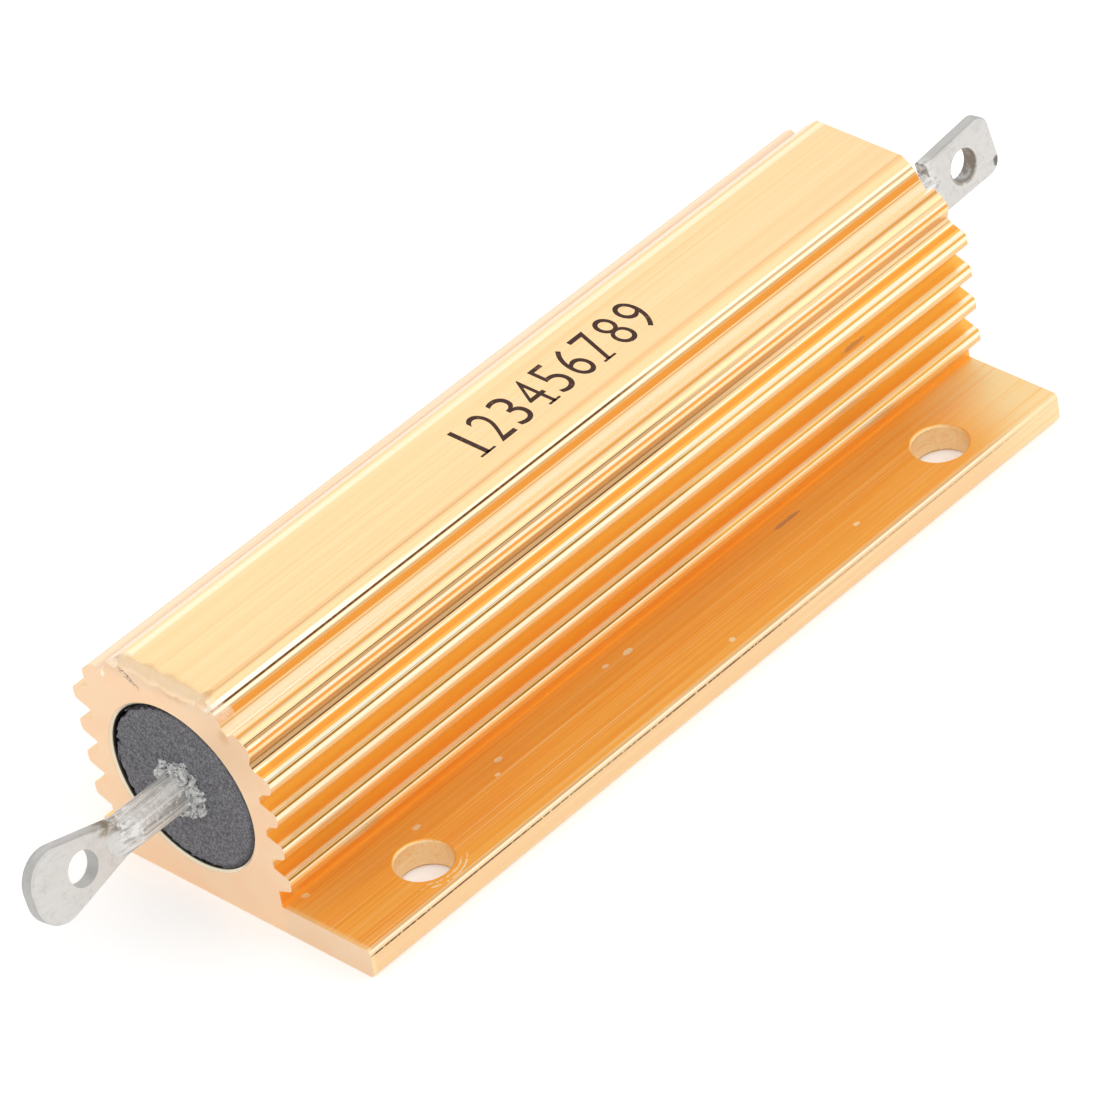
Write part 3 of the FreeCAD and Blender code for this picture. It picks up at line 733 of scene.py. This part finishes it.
class RESISTOR_OT_crusts(Operator):
    """Rough crust round the root of each lead"""

    bl_idname = "resistor.crusts"
    bl_label = "Root crusts"

    def execute(self, context):
        look = context.scene.resistor_crusts
        material = crust_material(look)
        relief = look.roughness / MM
        for end, side in (("front", -1), ("rear", 1)):
            low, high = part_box(end + "_root_bead")
            centre = (low + high) / 2
            outer = (high[0] - low[0]) / 2 / MM
            face = (high[1] if side < 0 else low[1]) / MM
            bm = bmesh.new()
            profile = [(1.5, -0.3), (outer, -0.3), (outer + 0.1, 0.05), (outer - 0.15, 0.5),
                       (outer - 0.5, 0.95), (2.0, 1.25), (1.5, 1.2)]
            chain = [bm.verts.new((ring * MM, side * out * MM, 0)) for ring, out in profile]
            edges = [bm.edges.new(pair) for pair in zip(chain, chain[1:] + chain[:1])]
            bmesh.ops.subdivide_edges(bm, edges=edges, cuts=3)
            bmesh.ops.spin(
                bm, geom=bm.verts[:] + bm.edges[:], cent=(0, 0, 0), axis=(0, 1, 0),
                angle=2 * math.pi, steps=90, use_merge=True,
            )
            bmesh.ops.remove_doubles(bm, verts=bm.verts, dist=10 * SAME * MM)
            bmesh.ops.recalc_face_normals(bm, faces=bm.faces)
            bm.normal_update()
            for vert in bm.verts:
                where = vert.co / MM * 1.5 + Vector((side * 7.0, 0, 0))
                lump = noise.fractal(where, 0.45, 2.2, 5)
                vert.co += vert.normal * (relief * lump * MM)
            for number in range(look.crumbs):
                seed = Vector((number * 1.37, side * 2.1, 0.5))
                turn = math.pi * 2 * (number / look.crumbs + 0.03 * noise.noise(seed))
                ring = 2.15 + 0.9 * abs(noise.noise(seed * 3.1)) + 0.5 * noise.noise(seed * 1.7)
                out = 0.15 + 1.3 * abs(noise.noise(seed * 5.3))
                size = 0.14 + 0.22 * abs(noise.noise(seed * 2.3))
                spot = Vector((ring * math.cos(turn), side * out, ring * math.sin(turn))) * MM
                crumb = bmesh.ops.create_icosphere(
                    bm, subdivisions=2, radius=size * MM, matrix=Matrix.Translation(spot),
                )
                for vert in crumb["verts"]:
                    bulge = noise.noise(vert.co / MM * 3.3)
                    vert.co += (vert.co - spot) * (0.5 * bulge)
            shift = Vector((centre[0], face * MM, centre[2]))
            bmesh.ops.translate(bm, verts=bm.verts, vec=shift)
            piece = add_piece(end + "_crust", bm, material, 80)
            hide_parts(end + "_root_bead")
        return {"FINISHED"}


def ink_material(look):
    finish = Finish("figure_ink")
    worn = finish.noise(1.6, 1.6, 1.6, detail=4.0, roughness=0.7)
    return finish.finish(
        base_color=finish.mix(worn.ramp(0.56, 0.75), look.ink[:], (0.20, 0.11, 0.06, 1)),
        roughness=0.75 + 0.15 * worn,
        normal=finish.bump(worn, 0.004),
    )


# Figures that stand on a stem and get a foot under it, and the foot's width and height as shares of the figure's.
STEMMED = "147"
FOOT_WIDE, FOOT_TALL = 0.46, 0.055
# Millimetres of ink for one unit of the text's thickness, and the middle of the ink above the flat in millimetres.
INK_SCALE, INK_LIFT = 0.3, 0.003


def figure_outline(context, figure):
    """Mesh of one upright figure."""
    text = bpy.data.curves.new("figure", "FONT")
    text.body = figure
    text.extrude = 0.02
    text.offset = -0.008
    holder = bpy.data.objects.new("figure", text)
    context.scene.collection.objects.link(holder)
    context.view_layer.update()
    evaluated = holder.evaluated_get(context.evaluated_depsgraph_get())
    outline = bpy.data.meshes.new_from_object(evaluated)
    bpy.data.objects.remove(holder)
    return outline


class RESISTOR_OT_marking(Operator):
    """Row of plain figures printed on the top flat"""

    bl_idname = "resistor.marking"
    bl_label = "Figures"

    def execute(self, context):
        look = context.scene.resistor_marking
        pitch = look.row / len(look.figures)
        bm = bmesh.new()
        for number, figure in enumerate(look.figures):
            before = len(bm.verts)
            outline = figure_outline(context, figure)
            bm.from_mesh(outline)
            bpy.data.meshes.remove(outline)
            drawn = bm.verts[:][before:]
            low = min(vert.co.y for vert in drawn)
            tall = max(vert.co.y for vert in drawn) - low
            left = min(vert.co.x for vert in drawn)
            wide = max(vert.co.x for vert in drawn) - left
            if figure in STEMMED:
                stem = [vert.co.x for vert in drawn if vert.co.y < low + 0.01 * tall]
                foot = Matrix.Translation((sum(stem) / len(stem), low + 0.03 * tall, 0))
                foot = foot @ Matrix.Diagonal((FOOT_WIDE * tall, FOOT_TALL * tall, 0.04, 1))
                drawn += bmesh.ops.create_cube(bm, size=1, matrix=foot)["verts"]
            along = look.fill * pitch / max(wide, 0.5 * tall)
            place = (number + 0.5) * pitch - look.start
            up = look.tall / tall
            lie = Matrix((
                (0, -up, 0, look.foot + up * low),
                (along, 0, 0, place),
                (0, 0, INK_SCALE * MM, TOP * MM + INK_LIFT * MM),
                (0, 0, 0, 1),
            ))
            lie = lie @ Matrix.Translation((-left - wide / 2, 0, 0))
            bmesh.ops.transform(bm, matrix=lie, verts=drawn)
        add_piece("figures", bm, ink_material(look), 40)
        return {"FINISHED"}


def inner_material(name, base, rough, metal):
    finish = Finish(name)
    mottle = finish.noise(1.4, 1.4, 1.4, detail=3.0)
    return finish.finish(
        base_color=finish.shade(mottle.ramp(0.4, 0.7) * 0.5, base, 0.75),
        metallic=metal,
        roughness=rough + 0.2 * (mottle - 0.5),
        normal=finish.bump(mottle, 0.02),
    )


class RESISTOR_OT_inside(Operator):
    """Core, winding and end caps, out of sight in the compound"""

    bl_idname = "resistor.inside"
    bl_label = "Inner pieces"

    def execute(self, context):
        cap = inner_material("pressed_steel", (0.55, 0.54, 0.52, 1), 0.4, 1.0)
        dress_node("front_end_cap", cap)
        dress_node("rear_end_cap", cap)
        dress_node("ceramic_core", inner_material("core_ceramic", (0.80, 0.77, 0.70, 1), 0.7, 0.0))
        dress_node("resistance_wire", inner_material("resistance_alloy", (0.46, 0.43, 0.40, 1), 0.38, 1.0))
        return {"FINISHED"}


def camera_matrix(look):
    azimuth, elevation, roll = look.azimuth, look.elevation, look.roll
    back = Vector((
        math.sin(azimuth) * math.cos(elevation),
        -math.cos(azimuth) * math.cos(elevation),
        math.sin(elevation),
    ))
    level = Vector((0, 0, 1)).cross(back).normalized()
    upright = back.cross(level)
    right = math.cos(roll) * level + math.sin(roll) * upright
    up = math.cos(roll) * upright - math.sin(roll) * level
    place = look.aside * right + look.above * up + look.away * back
    turned = Matrix((right, up, back)).transposed().to_4x4()
    return Matrix.Translation(place) @ turned


# Lamps: name, place and size in metres, power in watts. They all aim at the part.
LAMPS = (
    ("key", (0.45, 0.55, 0.62), 0.9, 1.15),
    ("side", (0.75, -0.35, 0.75), 0.7, 0.8),
    ("left", (-0.7, 0.3, 0.6), 0.8, 0.8),
)
LAMP_TARGET = Vector((0, 0, 0.01))

# Half the floor's side in metres, its drop below the part in millimetres, and the strength of its own light and
# of the sky's.
FLOOR_HALF = 1.5
FLOOR_DROP = 0.02
FLOOR_GLOW = 0.3
SKY = 0.86


def area_lamp(name, place, size, power):
    lamp = bpy.data.lights.new(name, "AREA")
    lamp.size = size
    lamp.energy = power
    holder = bpy.data.objects.new(name, lamp)
    holder.location = place
    aim = LAMP_TARGET - Vector(place)
    holder.rotation_euler = aim.to_track_quat("-Z", "Y").to_euler()
    bpy.context.scene.collection.objects.link(holder)


class RESISTOR_OT_studio(Operator):
    """Pale floor, soft light and the camera"""

    bl_idname = "resistor.studio"
    bl_label = "Studio"

    def execute(self, context):
        look = context.scene.resistor_studio
        scene = context.scene
        scene.view_settings.view_transform = "Standard"

        bm = bmesh.new()
        bmesh.ops.create_grid(bm, x_segments=2, y_segments=2, size=FLOOR_HALF,
                              matrix=Matrix.Translation((0, 0, -FLOOR_DROP * MM)))
        mesh = bpy.data.meshes.new("floor")
        bm.to_mesh(mesh)
        bm.free()
        floor = bpy.data.objects.new("floor", mesh)
        scene.collection.objects.link(floor)
        finish = Finish("pale_floor")
        seen = finish.tree.nodes.new("ShaderNodeLightPath")
        camera_ray, glossy_ray = seen.outputs["Is Camera Ray"], seen.outputs["Is Glossy Ray"]
        lift = finish.node("Math", {"operation": "MAXIMUM"}, {0: camera_ray, 1: glossy_ray})
        finish.finish(base_color=look.floor[:], roughness=0.9, emission_color=(1, 1, 1, 1))
        self.light_floor(finish, lift)
        mesh.materials.append(finish.material)

        world = bpy.data.worlds.new("studio")
        world.use_nodes = True
        scene.world = world
        background = world.node_tree.nodes["Background"]
        background.inputs["Color"].default_value = (1, 1, 1, 1)
        background.inputs["Strength"].default_value = SKY

        for name, place, size, power in LAMPS:
            area_lamp(name, place, size, power)

        camera = bpy.data.cameras.new("camera")
        camera.sensor_width = 36
        camera.lens = look.lens
        camera.clip_end = 10
        holder = bpy.data.objects.new("camera", camera)
        holder.matrix_world = camera_matrix(look)
        scene.collection.objects.link(holder)
        scene.camera = holder
        return {"FINISHED"}

    @staticmethod
    def light_floor(finish, lift):
        """Adds some white to the floor where the camera or a reflection sees it."""
        white = finish.tree.nodes.new("ShaderNodeEmission")
        both = finish.tree.nodes.new("ShaderNodeAddShader")
        dark = finish.tree.nodes.new("ShaderNodeEmission")
        dark.inputs["Strength"].default_value = 0.0
        white.inputs["Strength"].default_value = FLOOR_GLOW
        chosen = finish.tree.nodes.new("ShaderNodeMixShader")
        finish.tree.links.new(lift.socket, chosen.inputs[0])
        finish.tree.links.new(dark.outputs[0], chosen.inputs[1])
        finish.tree.links.new(white.outputs[0], chosen.inputs[2])
        output = [node for node in finish.tree.nodes if node.type == "OUTPUT_MATERIAL"][0]
        finish.tree.links.new(finish.shader.outputs[0], both.inputs[0])
        finish.tree.links.new(chosen.outputs[0], both.inputs[1])
        finish.tree.links.new(both.outputs[0], output.inputs["Surface"])


class RESISTOR_PT_panel(Panel):
    """The pieces of the resistor, in the order they are made"""

    bl_idname = "RESISTOR_PT_panel"
    bl_label = "Housed resistor"
    bl_space_type = "VIEW_3D"
    bl_region_type = "UI"
    bl_category = "Resistor"

    def draw(self, context):
        for operator, group, names in PARTS:
            column = self.layout.column()
            column.operator(operator.bl_idname)
            for name in names:
                column.prop(getattr(context.scene, group), name)


PARTS = (
    (RESISTOR_OT_housing, "resistor_housing",
     ("anodise", "shaded_anodise", "sawn", "roughness", "streaks", "edge_wear")),
    (RESISTOR_OT_compound, "resistor_compound", ("base", "grain", "gap")),
    (RESISTOR_OT_leads, "resistor_leads", ("tin", "tarnish", "roughness", "wall_stain")),
    (RESISTOR_OT_crusts, "resistor_crusts", ("base", "roughness", "crumbs")),
    (RESISTOR_OT_marking, "resistor_marking", ("figures", "ink", "start", "row", "tall", "foot", "fill")),
    (RESISTOR_OT_inside, "", ()),
    (RESISTOR_OT_studio, "resistor_studio",
     ("floor", "azimuth", "elevation", "roll", "away", "aside", "above", "lens")),
)
LOOKS = {
    "resistor_housing": HousingLook,
    "resistor_compound": CompoundLook,
    "resistor_leads": LeadLook,
    "resistor_crusts": CrustLook,
    "resistor_marking": MarkingLook,
    "resistor_studio": StudioLook,
}


def register():
    for name, group in LOOKS.items():
        bpy.utils.register_class(group)
        setattr(bpy.types.Scene, name, PointerProperty(type=group))
    for operator, _, _ in PARTS:
        bpy.utils.register_class(operator)
    bpy.utils.register_class(RESISTOR_PT_panel)


def unregister():
    bpy.utils.unregister_class(RESISTOR_PT_panel)
    for operator, _, _ in reversed(PARTS):
        bpy.utils.unregister_class(operator)
    for name, group in LOOKS.items():
        delattr(bpy.types.Scene, name)
        bpy.utils.unregister_class(group)


def main():
    register()
    bpy.ops.resistor.housing()
    bpy.ops.resistor.compound()
    bpy.ops.resistor.leads()
    bpy.ops.resistor.crusts()
    bpy.ops.resistor.marking()
    bpy.ops.resistor.inside()
    bpy.ops.resistor.studio()


if __name__ == "__main__":
    main()
